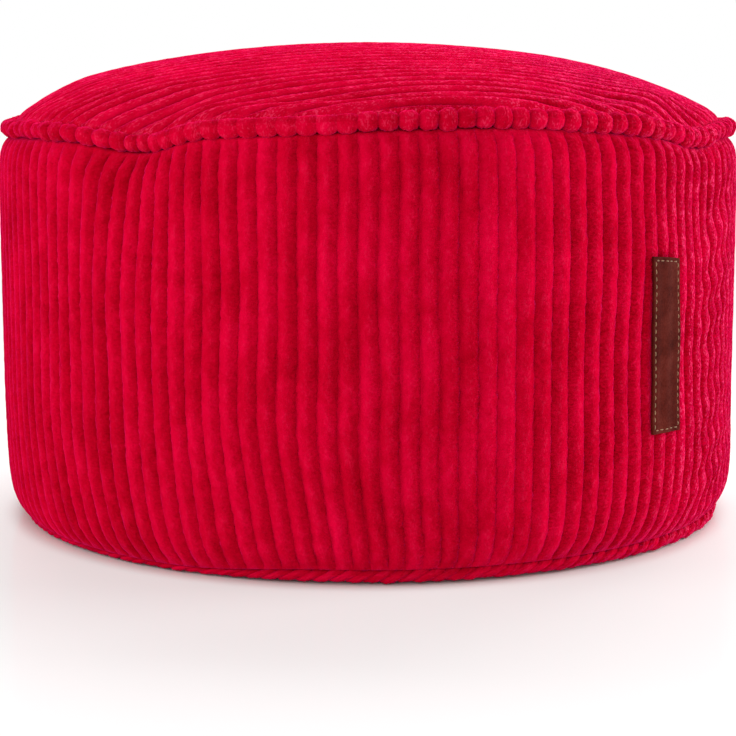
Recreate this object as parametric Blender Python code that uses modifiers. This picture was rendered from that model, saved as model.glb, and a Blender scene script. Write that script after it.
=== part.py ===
"""Round bean bag footstool in wide-wale corduroy, modelled as the pieces that are cut and sewn.

A side band, a crowned top panel and a base panel together hold the bead filling. A proud, pinched
seam runs round the top edge and a smaller one round the base, and a leather patch is sewn upright
on the side. Units are metres and +Z is up. The origin is on the floor under the middle of the
base. Azimuth 0 is the front, towards -Y, and azimuth grows towards +X.
"""

import math

import bmesh
import bpy
import numpy as np

# Driving dimensions of the stuffed footstool
RADIUS = 0.250
CROWN_HEIGHT = 0.3175
SEAM_HEIGHT = 0.2648
FLAT_RADIUS = 0.226
CLOTH = 0.003
GAP = 0.0003
TURN_STEPS = 72

# The crown drops CROWN_DROP from its middle to the full radius: partly as the square of the radius
# and partly, at the shoulder, as its seventh power. The wales run across it from side to side, so
# the panel keeps a fuller shoulder at the sides than at the front and the back.
CROWN_DROP = 0.0530
SIDE_SHOULDER = 0.30
FRONT_SHOULDER = 0.10
PANEL_RADII = (0.040, 0.080, 0.115, 0.145, 0.175, 0.200, 0.220, 0.231)
PANEL_EDGE_RADIUS = 0.2363
PANEL_EDGE_BAND = 0.020

# Where the top panel meets the side band inside, and the rings that both faces share there
JOIN_HEIGHT = 0.2610
JOIN_RADII = (0.2100, 0.1750, 0.1300, 0.0800)

# Seam ridges: middle of the ridge, and half of its width and height
TOP_SEAM_RADIUS = 0.2435
TOP_SEAM_HALF = (0.0056, 0.0060)
BASE_SEAM_RADIUS = 0.2360
BASE_SEAM_HEIGHT = 0.0048
BASE_SEAM_HALF = (0.0046, 0.0040)

# The side rolls in to the crease under the top seam, and more slowly to the crease over the base
# seam: how far each crease is drawn in, and how far from it the roll has fallen to a third
TOP_CREASE = 0.2582
TOP_TUCK = 0.0065
TOP_ROLL = 0.0060
BASE_CREASE = 0.0096
BASE_TUCK = 0.0105
BASE_ROLL = 0.0090
SIDE_HEIGHTS = (0.2582, 0.2550, 0.2500, 0.2430, 0.2300, 0.1850, 0.1250, 0.0650, 0.0380, 0.0240, 0.0150)

# How the filled cloth settles. A wave of the top edge: its middle, its rise, how far it reaches to
# each side before it has fallen to a third, and how far in over the crown it carries.
RIM_WAVES = [
    # azimuth_deg, rise, before_deg, after_deg, carry
    (18, 0.0090, 40, 24, 0.125),
    (-33, -0.0080, 12, 6, 0.045),
    (58, -0.0065, 9, 7, 0.025),
    (90, -0.0040, 28, 40, 0.120),
    (115, -0.0030, 12, 16, 0.030),
    (168, 0.0045, 26, 20, 0.090),
    (-150, -0.0050, 6, 12, 0.020),
    (-112, 0.0025, 14, 16, 0.060),
    (-88, -0.0038, 34, 34, 0.050),
]

# Soft hollows of the side, and swellings and hollows of the crown
SIDE_HOLLOWS = [
    # azimuth_deg, height, depth, reach_deg, reach_height
    (-33, 0.228, 0.0040, 9, 0.042),
    (58, 0.215, 0.0040, 9, 0.050),
    (-150, 0.205, 0.0035, 12, 0.060),
    (128, 0.185, 0.0030, 15, 0.070),
]
CROWN_FORMS = [
    # x, y, rise, reach_x, reach_y
    (-0.150, -0.165, 0.0020, 0.045, 0.045),
    (0.192, -0.140, 0.0050, 0.028, 0.038),
    (-0.030, -0.215, -0.0020, 0.035, 0.025),
    (0.148, -0.168, -0.0030, 0.022, 0.018),
    (-0.200, 0.040, 0.0015, 0.050, 0.080),
    (-0.140, 0.130, -0.0040, 0.042, 0.038),
    (0.110, 0.165, 0.0030, 0.050, 0.040),
]
FLOOR_ZONE = 0.030
PULL_OUTER = 0.238
BASE_SHIFT = 0.0014
BASE_SHIFT_TOP = 0.100

# Leather patch
PATCH_WIDTH = 0.028
PATCH_BOTTOM = 0.0795
PATCH_TOP = 0.1875
PATCH_AZIMUTH_DEG = 46.5
PATCH_LEAN = 0.0034
PATCH_THICKNESS = 0.0020
PATCH_COLUMNS = 4
PATCH_ROWS = 8

# name: (colour, roughness)
FINISHES = {
    "corduroy": ((0.50, 0.004, 0.030), 0.85),
    "leather": ((0.085, 0.018, 0.012), 0.55),
}


def clear_scene():
    for old in list(bpy.data.objects):
        bpy.data.objects.remove(old, do_unlink=True)


def new_collection(name):
    collection = bpy.data.collections.new(name)
    bpy.context.scene.collection.children.link(collection)
    return collection


def new_material(name):
    colour, roughness = FINISHES[name]
    material = bpy.data.materials.new(name)
    material.use_nodes = True
    shader = material.node_tree.nodes["Principled BSDF"]
    shader.inputs["Base Color"].default_value = (*colour, 1.0)
    shader.inputs["Roughness"].default_value = roughness
    shader.inputs["Metallic"].default_value = 0.0
    return material


def smooth_step(t):
    """0 below 0, 1 above 1, and an even S between."""
    t = np.clip(t, 0.0, 1.0)
    return t * t * (3.0 - 2.0 * t)


def turn_from(azimuth, middle_deg):
    """Angle in degrees from middle_deg round to azimuth, between -180 and 180."""
    return (np.degrees(azimuth) - middle_deg + 180.0) % 360.0 - 180.0


def rim_rise(azimuth, radius):
    """Height that the top edge gains: the sum of the bell-shaped rim waves, each fading inwards."""
    rise = np.zeros_like(azimuth)
    for middle, height, before, after, carry in RIM_WAVES:
        turn = turn_from(azimuth, middle)
        reach = np.where(turn < 0.0, before, after)
        fade = smooth_step((radius - PULL_OUTER) / carry + 1.0)
        rise += height * np.exp(-((turn / reach) ** 2)) * fade
    return rise


def crown_lift(x, y):
    """Height that the crown gains over the turned shape: flatter shoulders and soft swellings."""
    share = np.hypot(x, y) / RADIUS
    facing = (y / np.maximum(np.hypot(x, y), GAP)) ** 2
    moved = CROWN_DROP * (SIDE_SHOULDER - FRONT_SHOULDER) * facing
    lift = -moved * (share**2 - share**7)
    for middle_x, middle_y, rise, reach_x, reach_y in CROWN_FORMS:
        bell = ((x - middle_x) / reach_x) ** 2 + ((y - middle_y) / reach_y) ** 2
        lift += rise * np.exp(-bell)
    return lift


def settled(points):
    """Ideal turned points moved to where the filled cloth settles.

    The top edge rises and dips by rim_rise, less towards the floor. The crown takes crown_lift
    inside its edge, and the side takes its hollows. The foot sits a little to the right.
    """
    x, y, z = points.T
    radius = np.hypot(x, y)
    azimuth = np.arctan2(x, -y)
    lift = smooth_step((z - FLOOR_ZONE) / (JOIN_HEIGHT - FLOOR_ZONE))
    height = z + rim_rise(azimuth, radius) * lift
    on_crown = smooth_step((z - JOIN_HEIGHT - GAP) / (SEAM_HEIGHT - JOIN_HEIGHT))
    on_crown *= smooth_step((PANEL_EDGE_RADIUS - radius) / PANEL_EDGE_BAND)
    height += crown_lift(x, y) * on_crown
    inward = np.zeros_like(radius)
    for middle, level, depth, reach, reach_height in SIDE_HOLLOWS:
        bell = (turn_from(azimuth, middle) / reach) ** 2 + ((z - level) / reach_height) ** 2
        inward += depth * np.exp(-bell) * (radius / RADIUS) ** 4
    shift = BASE_SHIFT * (1.0 - smooth_step(z / BASE_SHIFT_TOP))
    radius = radius - inward
    return np.stack([radius * np.sin(azimuth) + shift, -radius * np.cos(azimuth), height], axis=1)


def settle(mesh):
    """Moves every vertex of a mesh to its settled place."""
    points = np.empty(len(mesh.vertices) * 3, np.float32)
    mesh.vertices.foreach_get("co", points)
    moved = settled(points.reshape(-1, 3).astype(np.float64))
    mesh.vertices.foreach_set("co", moved.astype(np.float32).ravel())
    mesh.update()


def split_quads(mesh):
    """Splits each four-sided face the same way round the axis.

    The cut runs from the inner corner at the lower azimuth to the outer corner at the higher one,
    so two faces that lie against each other split alike and keep their gap when they settle.
    """
    shape = bmesh.new()
    shape.from_mesh(mesh)
    for face in [face for face in shape.faces if len(face.verts) == 4]:
        middle = face.calc_center_median()
        sides = [middle.x * v.co.y - middle.y * v.co.x for v in face.verts]
        places = [(math.hypot(v.co.x, v.co.y), v.co.z) for v in face.verts]
        ranked = list(zip(sides, places, face.verts))
        start = min((row for row in ranked if row[0] < 0.0), key=lambda row: row[1])
        end = max((row for row in ranked if row[0] > 0.0), key=lambda row: row[1])
        bmesh.utils.face_split(face, start[2], end[2])
    shape.to_mesh(mesh)
    shape.free()


def turned(name, profile, closed, collection, material):
    """A solid of revolution about Z from a (radius, height) profile at +X, then settled.

    The profile runs down its outer side. An open one starts and ends on the axis, and a closed
    one is the section of a ring.
    """
    count = len(profile)
    edges = [(i, i + 1) for i in range(count - 1)]
    if closed:
        edges.append((count - 1, 0))
    outline = bpy.data.meshes.new(name + "_profile")
    outline.from_pydata([(radius, 0.0, height) for radius, height in profile], edges, [])
    spun = bpy.data.objects.new(name + "_spun", outline)
    collection.objects.link(spun)
    screw = spun.modifiers.new("Turn", "SCREW")
    screw.axis = "Z"
    screw.angle = math.tau
    screw.steps = TURN_STEPS
    screw.render_steps = TURN_STEPS
    screw.use_merge_vertices = True
    screw.merge_threshold = 0.0001
    bpy.context.view_layer.update()
    evaluated = spun.evaluated_get(bpy.context.evaluated_depsgraph_get())
    mesh = bpy.data.meshes.new_from_object(evaluated)
    bpy.data.objects.remove(spun, do_unlink=True)
    bpy.data.meshes.remove(outline)
    split_quads(mesh)
    settle(mesh)
    return finished(name, mesh, collection, material)


def finished(name, mesh, collection, material):
    """Names a mesh, gives it its material and smooth shading, and puts it in the scene."""
    mesh.name = name
    mesh.materials.clear()
    mesh.materials.append(material)
    mesh.shade_smooth()
    mesh.set_sharp_from_angle(angle=math.radians(40))
    piece = bpy.data.objects.new(name, mesh)
    collection.objects.link(piece)
    return piece


def crown_height(radius):
    """Height of the turned crown, with the fuller shoulder that it has at the sides."""
    share = radius / RADIUS
    drop = (1.0 - SIDE_SHOULDER) * share**2 + SIDE_SHOULDER * share**7
    return CROWN_HEIGHT - CROWN_DROP * drop


def side_radius(height):
    """Radius of the side, drawn in exponentially towards the crease at each end."""
    top = TOP_TUCK * math.exp((height - TOP_CREASE) / TOP_ROLL)
    base = BASE_TUCK * math.exp((BASE_CREASE - height) / BASE_ROLL)
    return RADIUS - top - base


def side_band(collection, material):
    """The band round the side, solid through, down to the base panel and up to the top panel."""
    profile = [(0.0, JOIN_HEIGHT)]
    profile += [(radius, JOIN_HEIGHT) for radius in reversed(JOIN_RADII)]
    profile += [(PANEL_EDGE_RADIUS, JOIN_HEIGHT)]
    profile += [(side_radius(height), height) for height in (*SIDE_HEIGHTS, BASE_CREASE)]
    inner = BASE_SEAM_RADIUS - BASE_SEAM_HALF[0] - 2 * GAP
    over_seam = BASE_SEAM_HEIGHT + BASE_SEAM_HALF[1] + 2 * GAP
    profile += [(inner, over_seam), (inner, CLOTH + GAP), (0.0, CLOTH + GAP)]
    return turned("side_band", profile, False, collection, material)


def top_panel(collection, material):
    """The round crowned panel, solid down to the side band, drawn in at its seamed edge."""
    profile = [(0.0, CROWN_HEIGHT)]
    profile += [(radius, crown_height(radius)) for radius in PANEL_RADII]
    profile += [
        (PANEL_EDGE_RADIUS - 0.0003, SEAM_HEIGHT + 0.0097),
        (PANEL_EDGE_RADIUS + 0.0010, SEAM_HEIGHT + 0.0052),
        (PANEL_EDGE_RADIUS, JOIN_HEIGHT + GAP),
    ]
    profile += [(radius, JOIN_HEIGHT + GAP) for radius in JOIN_RADII]
    profile += [(0.0, JOIN_HEIGHT + GAP)]
    return turned("top_panel", profile, False, collection, material)


def base_panel(collection, material):
    """The flat round panel that the footstool stands on, its edge turned up to its seam."""
    edge = BASE_SEAM_RADIUS - BASE_SEAM_HALF[0] - 2 * GAP
    profile = [
        (0.0, CLOTH),
        (edge, CLOTH),
        (edge, CLOTH * 0.4),
        (FLAT_RADIUS, 0.0),
        (0.0, 0.0),
    ]
    return turned("base_panel", profile, False, collection, material)


def seam_ridge(name, radius, height, half, sides, collection, material):
    """A pinched seam as a ring of rounded section, run clockwise so that it faces outwards."""
    angles = [math.tau * (0.5 + i) / sides for i in range(sides)]
    profile = [
        (radius + half[0] * math.cos(-angle), height + half[1] * math.sin(-angle))
        for angle in angles
    ]
    return turned(name, profile, True, collection, material)


def leather_patch(collection, material):
    """A bent upright rectangle on the side, made flat, wrapped, settled and thickened outwards."""
    grid = bmesh.new()
    bmesh.ops.create_grid(grid, x_segments=PATCH_COLUMNS, y_segments=PATCH_ROWS, size=0.5)
    mesh = bpy.data.meshes.new("leather_patch")
    grid.to_mesh(mesh)
    grid.free()
    middle = math.radians(PATCH_AZIMUTH_DEG)
    back = RADIUS + 2 * GAP
    for vertex in mesh.vertices:
        azimuth = middle + (vertex.co.x * PATCH_WIDTH - vertex.co.y * PATCH_LEAN) / RADIUS
        height = PATCH_BOTTOM + (vertex.co.y + 0.5) * (PATCH_TOP - PATCH_BOTTOM)
        vertex.co = (back * math.sin(azimuth), -back * math.cos(azimuth), height)
    settle(mesh)
    patch = finished("leather_patch", mesh, collection, material)
    thicken = patch.modifiers.new("Thickness", "SOLIDIFY")
    thicken.thickness = PATCH_THICKNESS
    thicken.offset = 1.0
    thicken.use_even_offset = True
    return patch


def build():
    clear_scene()
    pieces = new_collection("bean_bag_footstool")
    corduroy = new_material("corduroy")
    leather = new_material("leather")
    side_band(pieces, corduroy)
    top_panel(pieces, corduroy)
    base_panel(pieces, corduroy)
    seam_ridge("top_seam", TOP_SEAM_RADIUS, SEAM_HEIGHT, TOP_SEAM_HALF, 8, pieces, corduroy)
    seam_ridge("base_seam", BASE_SEAM_RADIUS, BASE_SEAM_HEIGHT, BASE_SEAM_HALF, 6, pieces, corduroy)
    leather_patch(pieces, leather)


build()
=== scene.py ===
# %% [markdown]
# # A bean bag footstool in wide-wale corduroy
# The real footstool is a round cover of thick crimson corduroy, filled with beads. Three panels
# make it: a band round the side, a crowned panel on top and a flat panel underneath. Two pinched
# seams join them, and a small leather patch is sewn upright on the side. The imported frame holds
# plain solids for all six pieces. This lesson keeps their places and sizes, and gives each one the
# surface that the real piece has: the cords of the cloth, its pile, its seams and its stitches.

import math

import bmesh
import bpy
import numpy as np
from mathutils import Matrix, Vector


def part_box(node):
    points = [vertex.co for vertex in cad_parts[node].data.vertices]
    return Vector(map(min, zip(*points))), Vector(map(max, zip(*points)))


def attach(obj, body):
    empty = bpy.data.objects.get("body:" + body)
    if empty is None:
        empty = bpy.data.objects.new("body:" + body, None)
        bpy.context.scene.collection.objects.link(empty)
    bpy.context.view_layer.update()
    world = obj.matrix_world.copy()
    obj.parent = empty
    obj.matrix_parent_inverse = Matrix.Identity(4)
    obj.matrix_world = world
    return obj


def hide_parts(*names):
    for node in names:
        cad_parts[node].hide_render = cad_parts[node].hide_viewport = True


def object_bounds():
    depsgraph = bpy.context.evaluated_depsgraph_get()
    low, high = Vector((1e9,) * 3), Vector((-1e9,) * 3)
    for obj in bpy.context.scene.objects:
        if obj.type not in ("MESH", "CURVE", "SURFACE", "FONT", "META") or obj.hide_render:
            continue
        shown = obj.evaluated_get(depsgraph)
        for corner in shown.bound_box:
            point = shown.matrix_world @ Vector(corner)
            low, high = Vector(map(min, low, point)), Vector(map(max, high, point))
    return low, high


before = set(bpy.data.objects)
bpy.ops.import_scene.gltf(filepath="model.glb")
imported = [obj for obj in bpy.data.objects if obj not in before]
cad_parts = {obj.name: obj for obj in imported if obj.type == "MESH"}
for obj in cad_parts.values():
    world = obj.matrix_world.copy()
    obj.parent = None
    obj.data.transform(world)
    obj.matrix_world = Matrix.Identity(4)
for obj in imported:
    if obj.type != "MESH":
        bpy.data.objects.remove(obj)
cad_low, cad_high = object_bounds()
scene = bpy.context.scene

MM = 0.001
band_low, band_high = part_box("side_band")
RADIUS = round((band_high[0] - band_low[0]) / 2, 3)
CROWN_HEIGHT = cad_high[2]
print(f"radius {RADIUS / MM:.1f} mm, height {CROWN_HEIGHT / MM:.1f} mm")

# %% [markdown]
# ## Camera
# The footstool is seen from the front and a little above. A long lens from 1.4 m away keeps the
# drum's sides nearly upright, as a product shot does.

# %% Camera
CAMERA_DISTANCE = 5.6 * RADIUS
CAMERA_HEIGHT = 1.245 * RADIUS
CAMERA_DOWN_DEG = 8.87
LENS_MM = 99.1
SENSOR_MM = 36.0

lens = bpy.data.cameras.new("camera")
lens.lens = LENS_MM
lens.sensor_width = SENSOR_MM
camera = bpy.data.objects.new("camera", lens)
camera.location = (0.0, -CAMERA_DISTANCE, CAMERA_HEIGHT)
camera.rotation_euler = (math.radians(90.0 - CAMERA_DOWN_DEG), 0.0, 0.0)
scene.collection.objects.link(camera)
scene.camera = camera
scene.view_settings.view_transform = "Standard"
print(f"camera {CAMERA_DISTANCE:.2f} m in front and {CAMERA_HEIGHT:.3f} m up")

# %% [markdown]
# ## How the filled cover settles
# Beads push the cover out evenly, so every piece starts as a shape turned round one axis. A used
# footstool is never quite true: the top edge rises in front and dips where the filling has moved
# away, and the side goes in a little under each dip. One function moves points of the turned shape
# to the settled one. The frame's solids were moved by the same function, and every piece here goes
# through it, so the pieces meet along their seams wherever the cover has moved.
#
# An azimuth is an angle round the axis: 0 in front and growing towards the right. In degrees it
# says where a dip or a hollow lies. Two small helpers describe such places: an arc with soft ends,
# and a bell, which is the exponential of less the square of a distance.

# %% Settling
SEAM_HEIGHT = 264.8 * MM
JOIN_HEIGHT = 261.0 * MM
GAP = 0.3 * MM
PANEL_EDGE_RADIUS = 236.3 * MM
PANEL_EDGE_BAND = 20.0 * MM
CROWN_DROP = 53.0 * MM
SIDE_SHOULDER = 0.30
FRONT_SHOULDER = 0.10
FLOOR_ZONE = 30.0 * MM
PULL_OUTER = 238.0 * MM
BASE_SHIFT = 1.4 * MM
BASE_SHIFT_TOP = 100.0 * MM

RIM_WAVES = [
    # azimuth_deg, rise, before_deg, after_deg, carry
    (18, 0.0090, 40, 24, 0.125),
    (-33, -0.0080, 12, 6, 0.045),
    (58, -0.0065, 9, 7, 0.025),
    (90, -0.0040, 28, 40, 0.120),
    (115, -0.0030, 12, 16, 0.030),
    (168, 0.0045, 26, 20, 0.090),
    (-150, -0.0050, 6, 12, 0.020),
    (-112, 0.0025, 14, 16, 0.060),
    (-88, -0.0038, 34, 34, 0.050),
]
SIDE_HOLLOWS = [
    # azimuth_deg, height, depth, reach_deg, reach_height
    (-33, 0.228, 0.0040, 9, 0.042),
    (58, 0.215, 0.0040, 9, 0.050),
    (-150, 0.205, 0.0035, 12, 0.060),
    (128, 0.185, 0.0030, 15, 0.070),
]
CROWN_FORMS = [
    # x, y, rise, reach_x, reach_y
    (-0.150, -0.165, 0.0020, 0.045, 0.045),
    (0.192, -0.140, 0.0050, 0.028, 0.038),
    (-0.030, -0.215, -0.0020, 0.035, 0.025),
    (0.148, -0.168, -0.0030, 0.022, 0.018),
    (-0.200, 0.040, 0.0015, 0.050, 0.080),
    (-0.140, 0.130, -0.0040, 0.042, 0.038),
    (0.110, 0.165, 0.0030, 0.050, 0.040),
]


def smooth_step(t):
    """0 below 0, 1 above 1, and between them an even S: three t squared less two t cubed."""
    t = np.clip(t, 0.0, 1.0)
    return t * t * (3.0 - 2.0 * t)


def turn_from(azimuth, middle_deg):
    """Angle in degrees from middle_deg round to azimuth, between -180 and 180."""
    return (np.degrees(azimuth) - middle_deg + 180.0) % 360.0 - 180.0


def in_arc(azimuth, arc):
    """1 inside an arc (start, fade in, end, fade out) of degrees, and 0 outside it."""
    start, fade_in, end, fade_out = arc
    angle = turn_from(azimuth, 0.0)
    return smooth_step((angle - start) / fade_in) * smooth_step((end - angle) / fade_out)


def bell_at(azimuth, middle_deg, reach_deg):
    """A bell round the drum: 1 at middle_deg, falling off over reach_deg."""
    return np.exp(-((turn_from(azimuth, middle_deg) / reach_deg) ** 2))


def rim_rise(azimuth, radius):
    """Rise of the top edge: a sum of bells round the rim, each one fading in over the crown."""
    rise = np.zeros_like(azimuth)
    for middle, height, before, after, carry in RIM_WAVES:
        turn = turn_from(azimuth, middle)
        reach = np.where(turn < 0.0, before, after)
        fade = smooth_step((radius - PULL_OUTER) / carry + 1.0)
        rise += height * np.exp(-((turn / reach) ** 2)) * fade
    return rise


def crown_lift(x, y):
    """Lift of the crown: lower shoulders towards front and back, then a sum of soft bells."""
    radius = np.maximum(np.hypot(x, y), GAP)
    share = radius / RADIUS
    moved = CROWN_DROP * (SIDE_SHOULDER - FRONT_SHOULDER) * (y / radius) ** 2
    lift = -moved * (share**2 - share**7)
    for middle_x, middle_y, rise, reach_x, reach_y in CROWN_FORMS:
        bell = ((x - middle_x) / reach_x) ** 2 + ((y - middle_y) / reach_y) ** 2
        lift += rise * np.exp(-bell)
    return lift


def settled(azimuth, radius, height):
    """Place of the turned point (azimuth, radius, height) once the filling has settled.

    Heights take rim_rise, less towards the floor, and crown_lift inside the seam. Radii lose the
    side hollows, which fade inwards as the fourth power of the radius. The foot sits a little to
    the right.
    """
    azimuth, radius, height = np.broadcast_arrays(azimuth, radius, height)
    x = radius * np.sin(azimuth)
    y = -radius * np.cos(azimuth)
    lift = smooth_step((height - FLOOR_ZONE) / (JOIN_HEIGHT - FLOOR_ZONE))
    on_crown = smooth_step((height - JOIN_HEIGHT - GAP) / (SEAM_HEIGHT - JOIN_HEIGHT))
    on_crown = on_crown * smooth_step((PANEL_EDGE_RADIUS - radius) / PANEL_EDGE_BAND)
    z = height + rim_rise(azimuth, radius) * lift + crown_lift(x, y) * on_crown
    inward = np.zeros_like(radius)
    for middle, level, depth, reach, reach_height in SIDE_HOLLOWS:
        bell = (turn_from(azimuth, middle) / reach) ** 2 + ((height - level) / reach_height) ** 2
        inward += depth * np.exp(-bell) * (radius / RADIUS) ** 4
    kept = 1.0 - inward / np.maximum(radius, GAP)
    shift = BASE_SHIFT * (1.0 - smooth_step(height / BASE_SHIFT_TOP))
    return np.stack([x * kept + shift, y * kept, z], axis=-1)


edge_rise = rim_rise(np.radians(np.arange(360.0)), RADIUS) / MM
print(f"top edge settled by {edge_rise.min():.1f} to {edge_rise.max():.1f} mm")


# %% [markdown]
# ## From a grid of points to a piece
# Every piece of cloth here is one function of two parameters. Its points make a grid of rows and
# columns, and four neighbours make a face. A map of the same grid, the UV map, says which cord of
# the cloth a point is on and how far along it lies, both counted in cord widths. The pile follows
# that map, however the cloth is bent. A second value, the crest, is 1 on top of a cord and 0 in a
# groove. Rows that shrink to one point are merged, which closes the poles.

# %% Grid helpers
MERGE_DISTANCE = 0.002 * MM


def grid_quads(rows, columns, wrap):
    """Corner numbers of a grid's quads: this column, the next one, then the same on the next row."""
    here = np.arange(columns if wrap else columns - 1)
    after = (here + 1) % columns
    row = np.arange(rows - 1)[:, None] * columns
    corners = [row + here, row + after, row + columns + after, row + columns + here]
    return np.stack(corners, axis=-1).reshape(-1, 4)


def grid_corners(values):
    """Values at each quad's four corners, from values on a grid that isn't wrapped."""
    corners = [values[:-1, :-1], values[:-1, 1:], values[1:, 1:], values[1:, :-1]]
    return np.stack(corners, axis=2).reshape(-1, values.shape[-1])


def make_piece(name, points, cloth_map, crest, wrap):
    """A smooth mesh object from points[row, column], its UV map and its crest attribute.

    A wrapped grid joins its last column to its first, and its map has one more column.
    """
    rows, columns = points.shape[:2]
    mesh = bpy.data.meshes.new(name)
    quads = grid_quads(rows, columns, wrap)
    mesh.from_pydata(points.reshape(-1, 3), [], quads.tolist())
    layer = mesh.uv_layers.new(name="cloth")
    layer.data.foreach_set("uv", grid_corners(cloth_map).astype(np.float32).ravel())
    attribute = mesh.attributes.new("crest", "FLOAT", "POINT")
    attribute.data.foreach_set("value", crest.astype(np.float32).ravel())
    shape = bmesh.new()
    shape.from_mesh(mesh)
    bmesh.ops.remove_doubles(shape, verts=shape.verts, dist=MERGE_DISTANCE)
    shape.to_mesh(mesh)
    shape.free()
    mesh.shade_smooth()
    piece = bpy.data.objects.new(name, mesh)
    scene.collection.objects.link(piece)
    size = np.ptp(points.reshape(-1, 3), axis=0) / MM
    print(f"{name}: {len(mesh.polygons)} faces, {size[0]:.1f} x {size[1]:.1f} x {size[2]:.1f} mm")
    return piece


# %% [markdown]
# ## The cords of the cloth
# Corduroy is woven with rows of cut pile, called wales or cords, and bare ground between them. On
# this cloth they are nearly 12 mm wide. A cord is a soft tube with a flattened top, so its section
# is one less the square of the distance from its middle, and the groove beside it is narrow and deep.
# Eight columns of points across each cord, closer together near the groove, draw that section. The
# hand also leaves its mark on every cord: the relief swells and thins along it, and beside the
# grooves the pile is ragged. Both come from seeded random numbers, one for every few millimetres,
# blended smoothly.

# %% Cord section
CORDS_ROUND = 132
CORD_PITCH = math.tau * RADIUS / CORDS_ROUND
CORD_RELIEF = 3.2 * MM
CREST_PROUD = 0.3 * MM
SWELL = 0.14
TUFT_HEIGHT = 0.35 * MM
TOP_FLATNESS = 0.80
ACROSS = np.array([-0.5, -0.44, -0.33, -0.17, 0.0, 0.17, 0.33, 0.44])


def cord_section(across):
    """Height of the pile, 0 to 1: one less the square of the offset, to the power of 0.8."""
    return np.maximum(1.0 - np.abs(2.0 * across) ** 2.0, 0.0) ** TOP_FLATNESS


def blend_along(table, cord, share):
    """Numbers of table[cord] at a share (0 to 1) of the cord's length, blended smoothly."""
    steps = table.shape[1] - 1
    place = np.clip(share, 0.0, 1.0) * steps
    below = np.minimum(place.astype(int), steps - 1)
    blend = smooth_step(place - below)
    return table[cord, below] * (1.0 - blend) + table[cord, below + 1] * blend


def hand_marks(seed, cords, steps, along):
    """Smooth random numbers from -1 to 1 for each cord, sampled at along (0 to 1) by columns."""
    table = np.random.default_rng(seed).uniform(-1.0, 1.0, (steps + 1, cords))
    return blend_along(table.T, np.arange(cords), along[:, None])


def ragged_pile(seed, columns, steps, along, across):
    """Random push of the pile from -1 to 1 at each column, strongest beside the grooves."""
    beside = 0.35 + 0.65 * smooth_step((np.abs(across) - 0.15) / 0.20)
    return hand_marks(seed, columns, steps, along) * beside


def soft_ripple(a, b, seed):
    """A gentle random surface between about -1 and 1: a third of six sines at seeded angles."""
    random = np.random.default_rng(seed)
    total = np.zeros(np.broadcast(a, b).shape)
    for _ in range(6):
        angle, phase = random.uniform(0.0, math.tau, 2)
        stretch = random.uniform(0.6, 1.4)
        total += np.sin(stretch * (a * math.cos(angle) + b * math.sin(angle)) + phase)
    return total / 3.0


def cord_columns(cords, across):
    """Places across the cloth in cord widths, a whole number on each crest."""
    return (np.arange(cords)[:, None] + across).ravel()


def round_azimuth(place):
    """Azimuth of a place counted in cord widths round the drum, from the back of it."""
    return math.tau * place / CORDS_ROUND - math.pi


print(f"{CORDS_ROUND} cords round the side, {CORD_PITCH / MM:.2f} mm each")

# %% [markdown]
# ## How the side's cords run
# The cords of the side are not ruler straight. Round the left and the front they lean to the right
# towards the floor, and close to the base seam they sweep towards the front on both sides. All of
# them wave a little. Round the right side, where the cover was handled, they wave more, and patches
# of them bend to and fro in a zigzag. Their tops bend to the right under the dip of the left front,
# and a little to the left round the right side. A drift in cord widths holds all of this: it is the
# sum of one term for each.

# %% Drift of the cords
# Drifts are in cord widths, and arcs in degrees: start, fade in, end and fade out.
TOP_CREASE = 258.2 * MM
BASE_CREASE = 9.6 * MM
LEAN_HEIGHT = 100.0 * MM
LEAN_MEAN = 0.5
LEAN_FRONT = 0.3
LEAN_LEFT = 0.8
HANDLED_ARC = (25.0, 35.0, 175.0, 40.0)
CALM_WAVE = 0.08
HANDLED_WAVE = 0.34
WAVE_HEIGHT = 12.0 * MM
ZIGZAG = 0.30
ZIGZAG_ARC = (50.0, 14.0, 120.0, 30.0)
ZIGZAG_HEIGHT = 27.0 * MM
ZIGZAG_PATCHES = 21.0 * MM
TOP_CALM = 40.0 * MM
DIP_BEND = 1.3
DIP_DEG = -40.0
DIP_REACH_DEG = 9.0
DIP_REACH = 20.0 * MM
RIGHT_BEND = -0.4
RIGHT_BEND_START = 5.0
RIGHT_BEND_FADE = 25.0
RIGHT_BEND_REACH = 9.0 * MM
FOOT_SWEEP = -1.2
FOOT_REACH = 14.0 * MM


def drift_lean(azimuth, height):
    """Lean near the floor: full at the left, half at the front and none at the right."""
    lean = (LEAN_MEAN + LEAN_FRONT * np.cos(azimuth)) * smooth_step(1.0 - height / LEAN_HEIGHT)
    return lean * smooth_step(0.5 - LEAN_LEFT * np.sin(azimuth))


def drift_wave(azimuth, height):
    """A soft ripple everywhere, and a sine up the drum in patches of the handled side.

    The ripple is read on a circle of 7 by 6 units, so it closes round the drum. The phase of the
    sine moves with the ripple and with the azimuth, so neighbouring cords bend out of step.
    """
    slow = soft_ripple(7.0 * np.sin(azimuth) + 6.0 * np.cos(azimuth), height / WAVE_HEIGHT, 3)
    right_side_weight = in_arc(azimuth, HANDLED_ARC)
    wave = (CALM_WAVE + HANDLED_WAVE * right_side_weight) * slow
    turn = math.tau * height / ZIGZAG_HEIGHT + 5.0 * np.sin(3.0 * azimuth) + 1.6 * slow
    zigzag = ZIGZAG * right_side_weight * np.sin(turn) * in_arc(azimuth, ZIGZAG_ARC)
    uneven = soft_ripple(11.0 * azimuth, height / ZIGZAG_PATCHES, 5)
    return wave + zigzag * smooth_step(0.45 + 0.55 * uneven)


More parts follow.
